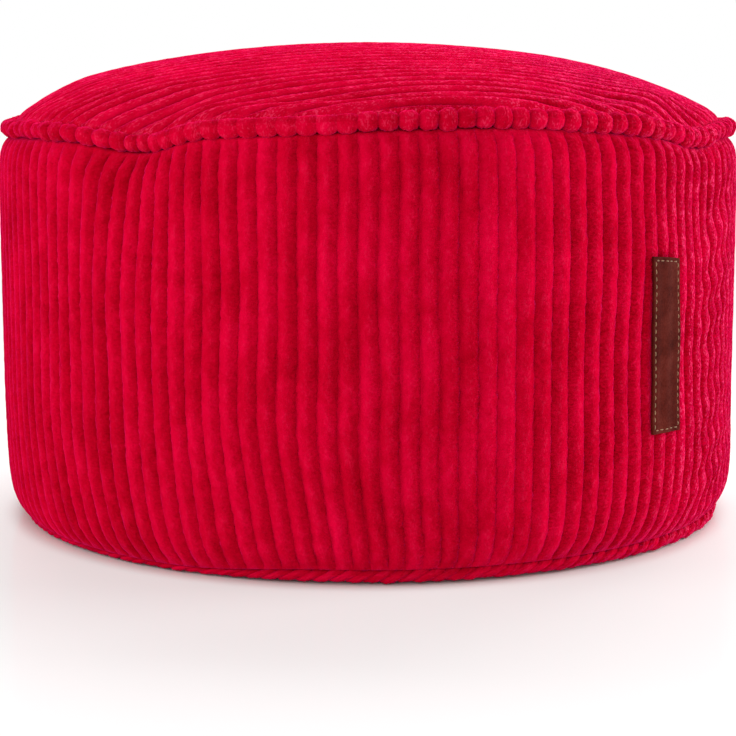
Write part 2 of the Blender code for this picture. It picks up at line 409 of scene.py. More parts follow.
def drift_tops(azimuth, height):
    """Bent tops: exponentials that fade down from the crease, under the dip and at the right."""
    under_dip = np.exp(-(TOP_CREASE - height) / DIP_REACH) * bell_at(azimuth, DIP_DEG, DIP_REACH_DEG)
    right = smooth_step((turn_from(azimuth, 0.0) - RIGHT_BEND_START) / RIGHT_BEND_FADE)
    near_top = np.exp(-(TOP_CREASE - height) / RIGHT_BEND_REACH)
    return DIP_BEND * under_dip + RIGHT_BEND * near_top * right


def side_drift(azimuth, height):
    """Sideways drift of the cords in cord widths, to the right: lean, wave, tops and foot."""
    calm = smooth_step((TOP_CREASE - height) / TOP_CALM)
    foot = FOOT_SWEEP * np.sin(azimuth) * np.exp((BASE_CREASE - height) / FOOT_REACH)
    lean = drift_lean(azimuth, height)
    return lean + drift_wave(azimuth, height) * calm + drift_tops(azimuth, height) + foot


front_lean = side_drift(0.0, BASE_CREASE) - side_drift(0.0, LEAN_HEIGHT)
print(f"in front, the cords lean {float(front_lean) * CORD_PITCH / MM:.1f} mm to the right")

# %% [markdown]
# ## The side band
# The band is a strip of corduroy with its cords upright. Its ends roll in to a crease under the
# top seam, tightly, and over the base seam, more slowly: both rolls are exponentials. Round the left
# front the filling has sunk, and the foot of the band droops over the base seam and nearly hides it.
# The rows here are heights and the columns are places across each cord, moved round the axis by the
# drift. Hidden rings above and below close the band into one skin round its filling.

# %% Profile of the side
TOP_TUCK = 6.5 * MM
TOP_ROLL = 6.0 * MM
BASE_TUCK = 10.5 * MM
BASE_ROLL = 9.0 * MM
SIDE_ROWS = 132
EVEN_ROWS = 0.55
TOP_FADE = 6.0 * MM
FOOT_FADE = 5.0 * MM
RAGGED_DRIFT = 0.045
INNER_FLOOR = 3.4 * MM
INNER_RIM = 9.4 * MM
UNDER_BASE_SEAM = 230.8 * MM
HIDDEN_CREST = 0.3
FOOT_DROP = 4.6 * MM
FOOT_DROP_HEIGHT = 35.0 * MM
LEFT_FOOT_ARC = (-125.0, 30.0, -6.0, 24.0)


def side_radius(height):
    """Full radius less two rolls, each of which grows as an exponential towards its crease."""
    top = TOP_TUCK * np.exp((height - TOP_CREASE) / TOP_ROLL)
    base = BASE_TUCK * np.exp((BASE_CREASE - height) / BASE_ROLL)
    return RADIUS - top - base


def left_foot(azimuth):
    """1 round the left front, where the side droops over the base seam, and 0 elsewhere."""
    return in_arc(azimuth, LEFT_FOOT_ARC)


def side_rows():
    """Shares from 0 to 1 up the band, closer at its ends: part even, part a half cosine."""
    even = np.linspace(0.0, 1.0, SIDE_ROWS)
    return EVEN_ROWS * even + (1.0 - EVEN_ROWS) * (1.0 - np.cos(math.pi * even)) / 2.0


# %% Side band with its cords
def side_skin(eased, height, place):
    """Points of the visible band and their crest values, on a grid of heights by places."""
    offset = place - np.round(place)
    section = cord_section(offset)
    swell = np.repeat(hand_marks(11, CORDS_ROUND, 34, eased), len(ACROSS), axis=1)
    ends = smooth_step((TOP_CREASE - height) / TOP_FADE) ** 0.5
    ends = (ends * smooth_step((height - BASE_CREASE) / FOOT_FADE) ** 0.5)[:, None]
    relief = CORD_RELIEF * (1.0 + SWELL * swell) * ends
    drift = side_drift(round_azimuth(place), height[:, None])
    drift = drift + RAGGED_DRIFT * ragged_pile(14, len(place), 110, eased, offset)
    azimuth = round_azimuth(place + drift)
    tufts = TUFT_HEIGHT * ragged_pile(13, len(place), 100, eased, offset) * ends
    radius = side_radius(height)[:, None] + CREST_PROUD - relief * (1.0 - section) + tufts
    skin = settled(azimuth, radius, height[:, None])
    low = 1.0 - smooth_step((height[:, None] - BASE_CREASE) / FOOT_DROP_HEIGHT)
    skin[..., 2] -= FOOT_DROP * left_foot(azimuth) * low
    return skin, azimuth, 1.0 - ends * (1.0 - section)


def make_side_band():
    """The visible band, then the hidden rings that close it below and above."""
    eased = side_rows()
    height = BASE_CREASE + (TOP_CREASE - BASE_CREASE) * eased
    place = cord_columns(CORDS_ROUND, ACROSS)
    skin, azimuth, shade = side_skin(eased, height, place)
    below = [(0.0, INNER_FLOOR), (UNDER_BASE_SEAM, INNER_FLOOR), (UNDER_BASE_SEAM, INNER_RIM)]
    above = [(PANEL_EDGE_RADIUS, JOIN_HEIGHT - GAP), (0.0, JOIN_HEIGHT - GAP)]
    floor_rings = [settled(azimuth[0], radius, level) for radius, level in below]
    roof_rings = [settled(azimuth[-1], radius, level) for radius, level in above]
    points = np.concatenate([np.stack(floor_rings), skin, np.stack(roof_rings)])
    levels = np.concatenate([[0.0, INNER_FLOOR, INNER_RIM], height, [JOIN_HEIGHT, JOIN_HEIGHT]])
    along = np.broadcast_to((levels / CORD_PITCH)[:, None], (len(levels), len(place) + 1))
    across = np.broadcast_to(np.append(place, place[0] + CORDS_ROUND), along.shape)
    dark = [np.full((1, len(place)), HIDDEN_CREST)]
    crest = np.concatenate(dark * len(below) + [shade] + dark * len(above))
    return make_piece("side_cloth", points, np.stack([across, along], axis=-1), crest, True)


side_cloth = make_side_band()

# %% [markdown]
# ## The crowned top panel
# The panel is a round of the same cloth, and its cords run nearly from side to side, a little
# askew. A disc can be drawn as chords: each row of the grid is one chord, lying along the cords,
# and shrinks to nothing at the front and the back. The crown is highest in its middle and falls
# faster towards its shoulder. Beads pull the cloth near the dips, so the cords bend there: a sum of
# bells shifts them, and points on the edge stay on the edge.

# %% Profile of the crown
TOP_PITCH = 11.5 * MM
TOP_YAW = math.radians(9.5)
TOP_OFFSET = 0.2
TOP_EDGE_RADIUS = 237.3 * MM
TOP_EDGE_HEIGHT = 269.6 * MM
TOP_MARKS = 40
EDGE_ROLL = 2.6 * MM
EDGE_FADE = 4.5 * MM
UNDER_INSET = 1.0 * MM
RIPPLE = 0.8 * MM
RIPPLE_REACH = 30.0 * MM
TOP_STEPS = 200
HIDDEN_STRIDE = 10
CORD_BENDS = [
    # x, y, shift_y, reach_x, reach_y
    (-0.105, -0.205, -0.007, 0.050, 0.034),
    (0.185, -0.130, 0.006, 0.042, 0.042),
    (0.090, -0.190, -0.003, 0.050, 0.030),
    (-0.180, 0.080, 0.005, 0.050, 0.050),
    (0.060, 0.190, 0.006, 0.060, 0.030),
]


def crown_drop(radius):
    """Drop of the crown from its middle: a square and a seventh power of the radius."""
    share = radius / RADIUS
    return CROWN_DROP * ((1.0 - SIDE_SHOULDER) * share**2 + SIDE_SHOULDER * share**7)

def crown_height(radius):
    """Height of the turned crown, with a tight exponential roll down to the panel's edge."""
    tuck = CROWN_HEIGHT - crown_drop(TOP_EDGE_RADIUS) - TOP_EDGE_HEIGHT
    roll = tuck * np.exp((radius - TOP_EDGE_RADIUS) / EDGE_ROLL)
    return CROWN_HEIGHT - crown_drop(radius) - roll


# %% Discs drawn as chords
def eased_steps(steps):
    """Places from -1 to 1 along a chord, twice as close at its ends: a line plus a half sine."""
    even = np.linspace(-1.0, 1.0, steps + 1)
    return 0.5 * even + 0.5 * np.sin(0.5 * math.pi * even)


def chord_grid(edge, pitch, offset, across, steps):
    """Points of a disc of radius edge as chords: (x along the cords, y across them, cord place)."""
    most = math.ceil(edge / pitch) + 1
    place = (np.arange(-most, most + 1)[:, None] + across).ravel()
    y = (place + offset) * pitch
    inside = np.abs(y) < edge - 0.2 * MM
    place = np.concatenate([[-edge / pitch - offset], place[inside], [edge / pitch - offset]])
    y = np.clip((place + offset) * pitch, -edge, edge)
    half = np.sqrt(np.maximum(edge**2 - y**2, 0.0))
    return half[:, None] * eased_steps(steps), np.repeat(y[:, None], steps + 1, axis=1), place


def turned(along, over, yaw):
    """x and y of points on a chord grid whose cords are turned by yaw."""
    x = along * math.cos(yaw) - over * math.sin(yaw)
    y = along * math.sin(yaw) + over * math.cos(yaw)
    return x, y


def chord_map(place, along):
    """Cloth map of a chord grid that closes on itself, with one more column than the grid."""
    steps = along / CORD_PITCH
    across = np.broadcast_to(place[:, None], steps.shape)
    cloth_map = np.stack([across, steps], axis=-1)
    return np.concatenate([cloth_map, cloth_map[:, :1]], axis=1)


# %% Crown and bent cords
def bent(x, y, edge):
    """Cords bent by a sum of bells and a soft ripple, with the edge held to its circle."""
    moved_x = x + RIPPLE * soft_ripple(x / RIPPLE_REACH, y / RIPPLE_REACH, 21)
    moved_y = y + RIPPLE * soft_ripple(x / RIPPLE_REACH, y / RIPPLE_REACH, 22)
    for middle_x, middle_y, shift_y, reach_x, reach_y in CORD_BENDS:
        bell = np.exp(-(((x - middle_x) / reach_x) ** 2) - ((y - middle_y) / reach_y) ** 2)
        moved_y = moved_y + shift_y * bell
    share = np.hypot(x, y) / edge
    now = np.maximum(np.hypot(moved_x, moved_y), GAP)
    held = 1.0 + (share * edge / now - 1.0) * share**6
    return moved_x * held, moved_y * held


def crown_skin(azimuth, radius, inward):
    """Points of the crown, moved in by a depth at right angles to the turned surface."""
    slope = (crown_height(radius + GAP) - crown_height(radius - GAP)) / (2.0 * GAP)
    slope = np.maximum(slope, -1.0)
    steep = 1.0 / np.sqrt(1.0 + slope**2)
    out = CREST_PROUD - inward
    return settled(azimuth, radius - slope * steep * out, crown_height(radius) + steep * out)


# %% Top panel with its cords
def make_top_panel():
    """Chord grid turned by the yaw, bent, raised to the crown and given its cords.

    The hidden underside is a coarser layer of the same chords, joined on at both of their ends.
    """
    along, over, place = chord_grid(TOP_EDGE_RADIUS, TOP_PITCH, TOP_OFFSET, ACROSS, TOP_STEPS)
    x, y = bent(*turned(along, over, TOP_YAW), TOP_EDGE_RADIUS)
    radius = np.hypot(x, y)
    azimuth = np.arctan2(x, -y)
    offset = place - np.round(place)
    section = cord_section(offset)[:, None]
    cord = np.round(place).astype(int)
    count = len(np.unique(cord))
    table = np.random.default_rng(12).uniform(-1.0, 1.0, (count, TOP_MARKS + 1))
    share = (along / TOP_EDGE_RADIUS + 1.0) / 2.0
    swell = blend_along(table, (cord - cord.min())[:, None], share)
    ragged = ragged_pile(15, len(place), 150, (eased_steps(TOP_STEPS) + 1.0) / 2.0, offset).T
    fade = smooth_step((TOP_EDGE_RADIUS - radius) / EDGE_FADE) ** 0.5
    relief = CORD_RELIEF * (1.0 + SWELL * swell) * fade
    skin = crown_skin(azimuth, radius, relief * (1.0 - section) - TUFT_HEIGHT * ragged * fade)
    few = slice(None, None, -HIDDEN_STRIDE)
    under_radius = radius[:, few] * (1.0 - UNDER_INSET / TOP_EDGE_RADIUS)
    under = settled(azimuth[:, few], under_radius, JOIN_HEIGHT + 2.0 * GAP)
    hidden = np.full(under_radius.shape, HIDDEN_CREST)
    crest = np.concatenate([hidden, 1.0 - fade * (1.0 - section)], axis=1)
    cloth_map = chord_map(place, np.concatenate([along[:, few], along], axis=1))
    points = np.concatenate([under, skin], axis=1)
    return make_piece("top_cloth", points, cloth_map, crest, True)


top_cloth = make_top_panel()

# %% [markdown]
# ## The pinched seams
# Top panel and band are sewn together face to face, turned out, and stitched once more close to
# the edge, so the seam stands up as a soft ridge. Each cord that is caught in it makes one bead. The
# ridge is a tube of oval section carried round the drum, and its size shrinks between beads. Over
# the left front the cloth was pulled tight and the ridge is nearly smooth: only its underside is
# pressed into scallops, by the cords below it. The ridge is slimmer there and fatter on the right.
# The base seam is smaller, and its beads lie askew like the strands of a rope. Under the drooping
# left foot it is smaller still.

# %% Sizes of the seams
TOP_SEAM_RADIUS = 243.2 * MM
TOP_SEAM_HALF = (5.2 * MM, 5.4 * MM)
BASE_SEAM_RADIUS = 236.0 * MM
BASE_SEAM_HEIGHT = 5.6 * MM
BASE_SEAM_HALF = (4.6 * MM, 4.0 * MM)
BEAD_COLUMNS = 12
BEAD_UNEVEN = 0.10
BEAD_PINCH = 0.56
BEAD_SWELL = 0.12
BEAD_SHIFT = 0.7 * MM
GROOVE_SHADE = 0.8
SCALLOP = 2.2 * MM
FRONT_ARC = (-100.0, 30.0, 110.0, 30.0)
SMOOTH_ARC = (-38.0, 8.0, 4.0, 10.0)
SLIM_ARC = (-42.0, 10.0, 12.0, 14.0)


def bead_strength(azimuth):
    """How far the top beads stand out, 0 to 1: hardly from -30 to -6 degrees, strong elsewhere."""
    return 0.75 + 0.25 * in_arc(azimuth, FRONT_ARC) - 0.92 * in_arc(azimuth, SMOOTH_ARC)


def ridge_size(azimuth):
    """Size of the top ridge against its usual one: slim at the left, fat at the right front."""
    fat = bell_at(azimuth, 38.0, 24.0)
    left = bell_at(azimuth, -75.0, 28.0)
    return 1.0 - 0.10 * in_arc(azimuth, SLIM_ARC) + 0.12 * fat - 0.14 * left


def rope_strength(azimuth):
    """Beads of the base seam: a little stronger towards the right end."""
    return 0.62 + 0.18 * np.sin(azimuth)


def rope_size(azimuth):
    """Size of the base seam: smaller under the drooping left foot of the side."""
    return 1.0 - 0.36 * left_foot(azimuth)


# %% Ridges of beads
def seam_map(place, flank, half_height, rows):
    """Cloth map round a seam: cords along it, and its section's own length the other way."""
    around = np.append(flank, flank[0] + math.tau) * half_height / CORD_PITCH
    along = np.broadcast_to(around[:, None], (rows, len(place) + 1))
    across = np.broadcast_to(np.append(place, place[0] + CORDS_ROUND), along.shape)
    return np.stack([across, along], axis=-1)


def make_seam(name, radius, height, half, turns, twist, seed, strengths, sizes):
    """Oval tube of turns points round its section, with one bead to each cord.

    A bead is half an oval: the root of one less the square of the offset. Beads differ in size
    and place by seeded random numbers, and a smooth stretch of the top ridge is pressed into
    scallops from below. On the floor, a smaller seam also lies lower.
    """
    place = cord_columns(CORDS_ROUND, (np.arange(BEAD_COLUMNS) - BEAD_COLUMNS / 2) / BEAD_COLUMNS)
    count = len(place)
    number = np.round(place).astype(int) % CORDS_ROUND
    random = np.random.default_rng(seed)
    size = random.uniform(-1.0, 1.0, CORDS_ROUND)[number]
    shift = random.uniform(-1.0, 1.0, (2, CORDS_ROUND))
    tufts = random.uniform(-1.0, 1.0, (turns, count))
    azimuth = round_azimuth(place)
    strength = strengths(azimuth)
    offset = place - np.round(place)
    bead = np.sqrt(np.maximum(1.0 - (2.0 * offset) ** 2, 0.0))
    scale = 1.0 + BEAD_UNEVEN * size * strength * bead
    scale = scale - BEAD_PINCH * strength * (1.0 - bead) + BEAD_SWELL * strength
    scale = scale * sizes(azimuth)
    on_floor = height < FLOOR_ZONE
    level = height * sizes(azimuth) if on_floor else height
    pressed = 0.0 if on_floor else SCALLOP * (1.0 - strength) * cord_section(offset)
    flank = math.tau * (0.5 + np.arange(turns)) / turns
    out, up = np.cos(flank)[:, None], np.sin(flank)[:, None]
    tufts = (tufts + np.roll(tufts, 1, axis=0) + np.roll(tufts, 1, axis=1)) / 2.0
    tufts = TUFT_HEIGHT * tufts * (0.5 + strength)
    ring_r = radius + BEAD_SHIFT * shift[0][number] * bead * strength
    ring_r = ring_r + (half[0] * scale + tufts) * out
    ring_z = level + BEAD_SHIFT * shift[1][number] * bead * strength
    ring_z = ring_z + (half[1] * scale + tufts) * up - pressed * np.maximum(-up, 0.0)
    drift = side_drift(azimuth, np.full(count, min(height, TOP_CREASE)))
    points = settled(round_azimuth(place + drift + twist * up), ring_r, ring_z)
    points = np.concatenate([points, points[:1]])
    crest = np.broadcast_to(1.0 - GROOVE_SHADE * strength * (1.0 - bead), points.shape[:2])
    cloth_map = seam_map(place, flank, half[1], len(points))
    return make_piece(name, points, cloth_map, crest, True)


top_ridge = make_seam(
    "top_ridge",
    TOP_SEAM_RADIUS,
    SEAM_HEIGHT,
    TOP_SEAM_HALF,
    turns=20,
    twist=0.0,
    seed=31,
    strengths=bead_strength,
    sizes=ridge_size,
)
base_ridge = make_seam(
    "base_ridge",
    BASE_SEAM_RADIUS,
    BASE_SEAM_HEIGHT,
    BASE_SEAM_HALF,
    turns=14,
    twist=0.5,
    seed=32,
    strengths=rope_strength,
    sizes=rope_size,
)

# %% [markdown]
# ## The base panel
# The footstool stands on a flat round of the same cloth. The weight of the filling presses its
# cords flat, so their crests touch the floor and the grooves are shallow.

# %% Base panel
CLOTH = 3.0 * MM
FLAT_RADIUS = 226.0 * MM
BASE_EDGE_RADIUS = UNDER_BASE_SEAM
BASE_EDGE_RISE = 1.2 * MM
BASE_RELIEF = 1.0 * MM
BASE_FADE = 8.0 * MM
BASE_YAW = math.radians(-28.0)
BASE_STEPS = 60


def make_base_panel():
    """Chord grid at floor level whose rim turns up to the seam, with a flat inner face."""
    along, over, place = chord_grid(BASE_EDGE_RADIUS, CORD_PITCH, 0.0, ACROSS[::2], BASE_STEPS)
    x, y = turned(along, over, BASE_YAW)
    radius = np.hypot(x, y)
    azimuth = np.arctan2(x, -y)
    section = cord_section(place - np.round(place))[:, None]
    fade = smooth_step((BASE_EDGE_RADIUS - radius) / BASE_FADE)
    rise = BASE_EDGE_RISE * smooth_step((radius - FLAT_RADIUS) / (BASE_EDGE_RADIUS - FLAT_RADIUS))
    skin = settled(azimuth, radius, rise + BASE_RELIEF * fade * (1.0 - section))
    few = slice(None, None, HIDDEN_STRIDE)
    inner = settled(azimuth[:, few], radius[:, few], CLOTH)
    hidden = np.full(inner.shape[:2], HIDDEN_CREST)
    crest = np.concatenate([(1.0 - fade * (1.0 - section))[:, ::-1], hidden], axis=1)
    cloth_map = chord_map(place, np.concatenate([along[:, ::-1], along[:, few]], axis=1))
    points = np.concatenate([skin[:, ::-1], inner], axis=1)
    return make_piece("base_cloth", points, cloth_map, crest, True)


base_cloth = make_base_panel()

# %% [markdown]
# ## Helpers for shaders
# The materials are node trees built in code. Each helper adds one node, links or sets its inputs,
# and hands back its output, so that a finish reads like a sum.

# %% Shader helpers
def new_shader(name):
    """A material with its tree and its Principled shader."""
    material = bpy.data.materials.new(name)
    material.use_nodes = True
    tree = material.node_tree
    return material, tree, tree.nodes["Principled BSDF"]


def put(tree, value, socket):
    """Links an output socket to an input socket, or sets the input to a plain value."""
    if isinstance(value, bpy.types.NodeSocket):
        tree.links.new(value, socket)
    else:
        socket.default_value = value


def calculate(tree, operation, *values):
    """Output of a Math node."""
    node = tree.nodes.new("ShaderNodeMath")
    node.operation = operation
    for value, socket in zip(values, node.inputs):
        put(tree, value, socket)
    return node.outputs[0]


def remap(tree, value, low, high, to_low, to_high):
    """Value moved smoothly from the range low..high to to_low..to_high."""
    node = tree.nodes.new("ShaderNodeMapRange")
    node.interpolation_type = "SMOOTHSTEP"
    for number, socket in zip((value, low, high, to_low, to_high), node.inputs):
        put(tree, number, socket)
    return node.outputs["Result"]


def combine(tree, x, y, z):
    """A vector from three values."""
    node = tree.nodes.new("ShaderNodeCombineXYZ")
    for value, socket in zip((x, y, z), node.inputs):
        put(tree, value, socket)
    return node.outputs[0]


def times(tree, value, factor):
    """Value times factor."""
    return calculate(tree, "MULTIPLY", value, factor)


def times_plus(tree, value, factor, added):
    """Value times factor, plus added."""
    return calculate(tree, "MULTIPLY_ADD", value, factor, added)


def object_place(tree):
    """Object coordinates, which are places in metres, because every piece sits at the origin."""
    return tree.nodes.new("ShaderNodeTexCoord").outputs["Object"]


def noise(tree, place, scale, detail, roughness):
    """Noise around 0.5 at a place."""
    node = tree.nodes.new("ShaderNodeTexNoise")
    node.inputs["Scale"].default_value = scale
    node.inputs["Detail"].default_value = detail
    node.inputs["Roughness"].default_value = roughness
    put(tree, place, node.inputs["Vector"])
    return node.outputs["Fac"]


def bumpy(tree, shader, height, strength, distance):
    """Bump on the shader's normal from a height."""
    bump = tree.nodes.new("ShaderNodeBump")
    bump.inputs["Strength"].default_value = strength
    bump.inputs["Distance"].default_value = distance
    put(tree, height, bump.inputs["Height"])
    tree.links.new(bump.outputs[0], shader.inputs["Normal"])


def settings(shader, values):
    """Plain values on the shader's own sockets, by name."""
    for name, value in values.items():
        shader.inputs[name].default_value = value


def ramp(tree, value, stops):
    """Colour from a ramp of (position, (red, green, blue)) stops."""
    node = tree.nodes.new("ShaderNodeValToRGB")
    elements = node.color_ramp.elements
    while len(elements) < len(stops):
        elements.new(0.5)
    for element, (position, colour) in zip(elements, stops):
        element.position = position
        element.color = (*colour, 1.0)
    put(tree, value, node.inputs["Fac"])
    return node.outputs["Color"]


# %% [markdown]
# ## Crimson corduroy
# Cut pile is a forest of short upright threads. It looks deep red from above, pale pink along its
# edges where light passes through the fibre ends, and mottled where a hand has brushed it one way or
# the other. The cloth map feeds three noises: long soft patches for the brushing, short clumps of
# pile, and a fine fuzz. Together they pick a red from a ramp. One flank of each cord is ruffled, so
# it is rougher than the other, and it is painted darker, as painted shade on the flank that faces
# away from the nearer soft box. The flanks change sides between the middle and the right of the
# footstool. The right is also more worn than the left. A fourth noise places painted highlights:
# pale pink glints on the crests, where single fibre ends would catch the light. The grooves are
# painted darker, partly for the bare ground and partly as painted shade. Sheen on the shader gives
# the pale edges.
#
# One function makes three finishes. The crown, which the light from overhead and behind grazes, has
# many painted glints and the most painted shade in its grooves. The side, the base seam and the base
# have few painted glints and grooves hardly darker. The top ridge lies between the two.

# %% Reds and patterns of the pile
DEEP_RED = (0.350, 0.0002, 0.0080)
CRIMSON = (0.500, 0.0004, 0.0170)
BRIGHT_RED = (0.680, 0.0010, 0.0360)
SHEEN_PINK = (1.0, 0.022, 0.26)
# Painted highlights: the pale pink of the glints painted on the crests, and their strength on the
# right.
PAINTED_GLINT_PINK = (0.95, 0.055, 0.170)
RIGHT_GLINTS = 1.0
# Noise places in each cord width across and along, and the shift from one cord to the next.
CLUMP_PLACES = (2.2, 1.3, 3.7)
FUZZ_PLACES = (7.0, 8.5, 7.3)
# The last noise places the painted glints.
GLINT_PLACES = (14.0, 5.5, 5.1)
CLUMP_TONE = 0.26
BRUSHED_TONE = 0.40
# Painted shade: how much darker the ruffled flank is painted.
FLANK_SHADE_TONE = -0.055
BASE_TONE = 0.20
RED_STOPS = [(0.36, DEEP_RED), (0.49, CRIMSON), (0.64, BRIGHT_RED)]
PILE_BUMP = 1.6 * MM


def cloth_place(tree):
    """Cloth map in cord widths: across, along, number of the cord, and offset from its crest."""
    chart = tree.nodes.new("ShaderNodeUVMap")
    chart.uv_map = "cloth"
    split = tree.nodes.new("ShaderNodeSeparateXYZ")
    tree.links.new(chart.outputs["UV"], split.inputs[0])
    across, along = split.outputs[0], split.outputs[1]
    cord = calculate(tree, "FLOOR", calculate(tree, "ADD", across, 0.5))
    return across, along, cord, calculate(tree, "SUBTRACT", across, cord)


def brushed_patches(tree, along, cord, offset):
    """Noise in long soft patches that hardly change across one cord."""
    slow = calculate(tree, "ADD", times(tree, cord, 0.42), times(tree, offset, 0.12))
    return noise(tree, combine(tree, slow, times(tree, along, 0.22), 0.0), 1.0, 3.0, 0.5)


def pile_noise(tree, across, along, cord, places, detail):
    """Noise on the cloth map, which starts afresh on every cord."""
    place = [times(tree, value, factor) for value, factor in zip((across, along, cord), places)]
    return noise(tree, combine(tree, *place), 1.0, detail, 0.6)


# %% Corduroy material
def mixed(tree, share, colour, other):
    """A colour mixed with another one by a share."""
    node = tree.nodes.new("ShaderNodeMix")
    node.data_type = "RGBA"
    put(tree, share, node.inputs[0])
    put(tree, colour, node.inputs[6])
    node.inputs[7].default_value = (*other, 1.0)
    return node.outputs[2]


def dimmed(tree, colour, share):
    """A colour times a share."""
    node = tree.nodes.new("ShaderNodeVectorMath")
    node.operation = "SCALE"
    put(tree, colour, node.inputs[0])
    put(tree, share, node.inputs["Scale"])
    return node.outputs[0]


def corduroy(name, glints, ground_and_shade):
    """Pile that follows the cloth map: patches, clumps and fuzz, with painted shade in the grooves
    and on one flank, and painted pale glints.

    The second argument says how strong the painted glints are on the left and in the middle, and the
    third how bright the grooves are against the pile: partly the bare ground, partly painted shade.
    """
    material, tree, shader = new_shader(name)
    across, along, cord, offset = cloth_place(tree)
    split = tree.nodes.new("ShaderNodeSeparateXYZ")
    tree.links.new(object_place(tree), split.inputs[0])
    rightwards = split.outputs[0]
    crest = tree.nodes.new("ShaderNodeAttribute")
    crest.attribute_name = "crest"
    patch = brushed_patches(tree, along, cord, offset)
    clump = pile_noise(tree, across, along, cord, CLUMP_PLACES, 4.0)
    fuzz = pile_noise(tree, across, along, cord, FUZZ_PLACES, 3.0)
    glint_noise = pile_noise(tree, across, along, cord, GLINT_PLACES, 2.0)
    # Painted shade: the flank facing away from the nearer soft box is painted darker and is also
    # rougher; it changes sides towards the right.
    flank = times(tree, offset, remap(tree, rightwards, 0.02, 0.16, 1.0, -1.0))
    ruffled_and_shaded = remap(tree, flank, -0.10, 0.25, 0.0, 1.0)
    # Wear and fuzz grow towards the right, and the same share also scales the painted glints.
    worn_and_glinting = remap(tree, rightwards, -0.06, 0.19, 0.45, 1.0)
    tone = times_plus(tree, ruffled_and_shaded, FLANK_SHADE_TONE, times(tree, patch, BRUSHED_TONE))
    tone = times_plus(tree, clump, CLUMP_TONE, tone)
    rough_fuzz = times(tree, times_plus(tree, ruffled_and_shaded, 0.38, 0.20), worn_and_glinting)
    tone = times_plus(tree, calculate(tree, "SUBTRACT", fuzz, 0.5), rough_fuzz, tone)
    red = ramp(tree, calculate(tree, "ADD", tone, BASE_TONE), RED_STOPS)
    # Painted shade in the grooves, partly also the darker bare ground.
    red = dimmed(tree, red, remap(tree, crest.outputs["Fac"], 0.0, 0.7, ground_and_shade, 1.0))
    # Painted highlights: pale pink glints mixed into the colour on the crests, strongest on the
    # right, where the right soft box grazes the cords.
    right_side_weight = remap(tree, rightwards, 0.165, 0.205, glints, RIGHT_GLINTS)
    lit = remap(tree, times_plus(tree, clump, 0.5, glint_noise), 0.78, 0.92, 0.0, 1.0)
    ends = times(tree, times(tree, lit, right_side_weight), worn_and_glinting)
    ends = times(tree, ends, remap(tree, crest.outputs["Fac"], 0.6, 1.0, 0.0, 1.0))
    tree.links.new(mixed(tree, ends, red, PAINTED_GLINT_PINK), shader.inputs["Base Color"])
    rough_pile = times(tree, times_plus(tree, ruffled_and_shaded, 1.0, 0.7), worn_and_glinting)
    pile = times_plus(tree, clump, 1.1, times(tree, fuzz, rough_pile))
    bumpy(tree, shader, pile, 0.8, PILE_BUMP)
    settings(shader, {"Roughness": 0.8, "Specular IOR Level": 0.0})
    settings(shader, {"Sheen Weight": 0.6, "Sheen Roughness": 0.28, "Sheen Tint": (*SHEEN_PINK, 1.0)})
    return material


FINISHES = [
    # material, painted glints, grooves' brightness with painted shade, pieces
    ("crimson_corduroy_crown", 0.9, 0.62, [top_cloth]),
    ("crimson_corduroy_side", 0.12, 0.92, [side_cloth, base_ridge, base_cloth]),
    ("crimson_corduroy_ridge", 0.4, 0.7, [top_ridge]),
]
for name, glints, ground_and_shade, pieces in FINISHES:
    finish = corduroy(name, glints, ground_and_shade)
    for piece in pieces:
        piece.data.materials.append(finish)
    print(f"{name}: {len(finish.node_tree.nodes)} nodes, pieces with it: {len(pieces)}")

# %% [markdown]
# ## The leather patch
# A strip of reddish brown leather is sewn upright over the cords of the right front. It is 2 mm
# thick, its cut edges are a little wavy, and its sewing line presses a shallow channel into it. The
# face is a grid across and up the patch, bent round the drum. Solidify gives it thickness and Bevel
# rounds its cut edges. Its middle is plain.

# %% Patch shape
PATCH_WIDTH = 28.0 * MM
PATCH_BOTTOM = 79.5 * MM
PATCH_TOP = 187.5 * MM
PATCH_LEAN = 3.4 * MM
PATCH_AZIMUTH = math.radians(46.5)
PATCH_THICKNESS = 2.0 * MM
PATCH_SOLID = 1.8 * MM
PATCH_COLUMNS = 41
PATCH_ROWS = 141
EDGE_WAVE = 0.35 * MM
SEWING_INSET = 2.3 * MM
CHANNEL_DEPTH = 0.35 * MM
CHANNEL_HALF = 0.8 * MM
EDGE_ROUND = 0.5 * MM


def patch_point(across, up, out):
    """Place of a point given across the patch and up it, from its middle, and out of its back."""
    wave = EDGE_WAVE * np.sin(up / (9.0 * MM) + 1.0) * across / PATCH_WIDTH * 2.0
    bend = 0.5 * MM * np.sin(up / (26.0 * MM)) - PATCH_LEAN * up / (PATCH_TOP - PATCH_BOTTOM)
    azimuth = PATCH_AZIMUTH + (across + wave + bend) / RADIUS
    height = (PATCH_BOTTOM + PATCH_TOP) / 2.0 + up
    rides = 0.25 * MM * np.cos(math.tau * across / CORD_PITCH)
    return settled(azimuth, RADIUS + 2.0 * GAP + rides + out, height)


def from_edge(across, up):
    """Distance in from the nearest edge of the patch."""
    side = PATCH_WIDTH / 2.0 - np.abs(across)
    end = (PATCH_TOP - PATCH_BOTTOM) / 2.0 - np.abs(up)
    return np.minimum(side, end)


